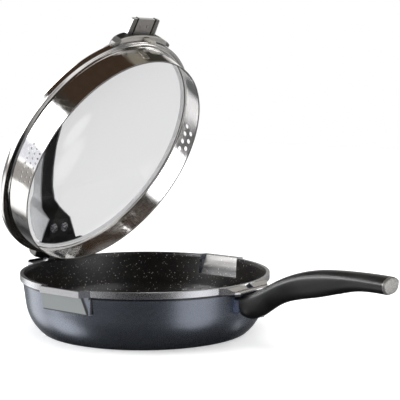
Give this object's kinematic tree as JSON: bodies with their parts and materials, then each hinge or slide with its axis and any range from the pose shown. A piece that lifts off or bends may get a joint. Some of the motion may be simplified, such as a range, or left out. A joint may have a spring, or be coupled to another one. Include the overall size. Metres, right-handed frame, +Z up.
{
  "type": "deep frying pan with hinged lid",
  "caption": "Deep cast frying pan with two pouring spouts, a long handle and a hinged glass lid whose steel skirt has strainer holes and a latch.",
  "frame": {"origin": "centre of the base disc's underside, on the hob", "axes": "+Z up, +X along the long handle, the lid's hinge at -X, the pouring spouts at -Y and +Y"},
  "size_m": [0.4871, 0.294, 0.352],
  "materials": {
    "coated_casting": "blue-grey lacquer outside, non-stick inside, bare rim",
    "base_steel": "turned",
    "polished_steel": "mirror polished",
    "steel": "plain",
    "clear_glass": "clear, toughened",
    "black_plastic": "satin",
    "grey_lacquer": "lacquered, fine speckle",
    "cap_metal": "satin"
  },
  "bodies": {
    "pan": {"pan_body": "coated_casting", "base_disc": "base_steel", "handle_ferrule": "grey_lacquer", "long_handle": "black_plastic", "handle_end_cap": "cap_metal", "handle_screw": "steel", "hinge_bracket": "steel", "bracket_rivets": "steel"},
    "lid": {"hinge_pin": "steel", "lid_ring": "polished_steel", "glass_dome": "clear_glass", "lid_handle_shell": "grey_lacquer", "lid_handle_core": "black_plastic", "hinge_clip": "black_plastic", "latch_housing": "black_plastic", "latch_pin": "steel", "rear_foot_washers": "steel", "rear_foot_screws": "steel", "front_foot_washers": "steel", "front_foot_screws": "steel"},
    "latch_lever": {"latch_lever": "black_plastic", "latch_hook": "steel", "hook_rivets": "steel", "latch_spring": "steel"}
  },
  "joints": [
    {"name": "lid_hinge", "type": "hinge", "parent": "pan", "child": "lid", "pos_m": [-0.1454, 0, 0.077], "axis": [0, -1, 0], "range_deg": [-61.7, 28.3]},
    {"name": "latch_hinge", "type": "hinge", "parent": "lid", "child": "latch_lever", "pos_m": [-0.00852, 0, 0.32994], "axis": [0, 1, 0], "range_deg": [0, 7], "stiffness_Nm_per_rad": 0.5, "springref_deg": -11.46}
  ]
}
